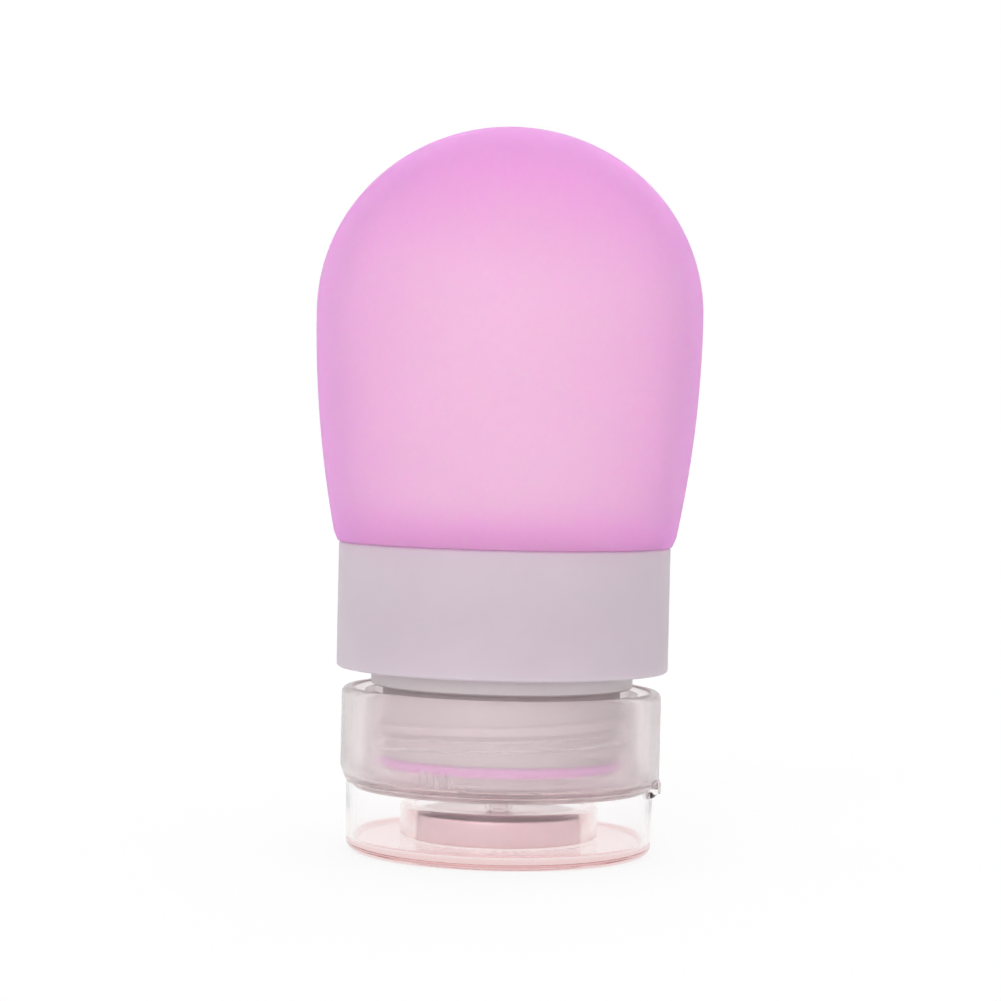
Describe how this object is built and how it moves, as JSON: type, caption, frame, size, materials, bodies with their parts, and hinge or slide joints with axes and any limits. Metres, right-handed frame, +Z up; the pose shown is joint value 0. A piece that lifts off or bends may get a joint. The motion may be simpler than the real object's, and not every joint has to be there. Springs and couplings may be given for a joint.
{
  "type": "travel silicone bottle",
  "caption": "Soft squeeze bottle standing on its clear flip cap: translucent silicone bulb, frosted collar with threaded neck, screw cap, no-drip valve, hinged lid with silicone seal.",
  "frame": {"origin": "centre of the lid's outer face, which is the lowest point of the closed bottle as it stands", "axes": "+Z up along the bottle's axis to the top of the dome, front at -Y, lid hinge at +X"},
  "size_m": [0.0448, 0.0448, 0.084],
  "materials": {
    "silicone_pink": "matte",
    "silicone_pale": "satin",
    "plastic_frosted": "matte",
    "plastic_clear": "gloss"
  },
  "bodies": {
    "bottle": {"squeeze_body": "silicone_pink", "collar": "plastic_frosted"},
    "valve": {"slit_valve": "silicone_pale", "valve_retainer": "plastic_clear"},
    "cap": {"screw_cap": "plastic_clear", "living_hinge": "plastic_clear"},
    "lid": {"flip_lid": "plastic_clear", "nozzle_seal": "silicone_pale"}
  },
  "joints": [
    {"name": "cap_travel", "type": "slide", "parent": "bottle", "child": "valve", "axis": [0, 0, -1], "range_m": [0, 0.00481]},
    {"name": "cap_turn", "type": "hinge", "parent": "valve", "child": "cap", "pos_m": [0, 0, 0.0136], "axis": [0, 0, -1], "range_deg": [0, 540]},
    {"name": "lid_hinge", "type": "hinge", "parent": "cap", "child": "lid", "pos_m": [0.0184, 0, 0.0082], "axis": [0, -1, 0], "range_deg": [0, 150], "deforming": ["living_hinge"]}
  ],
  "couplings": [
    {"joint": "cap_travel", "follows": "cap_turn", "m_per_rad": 0.0005093}
  ]
}
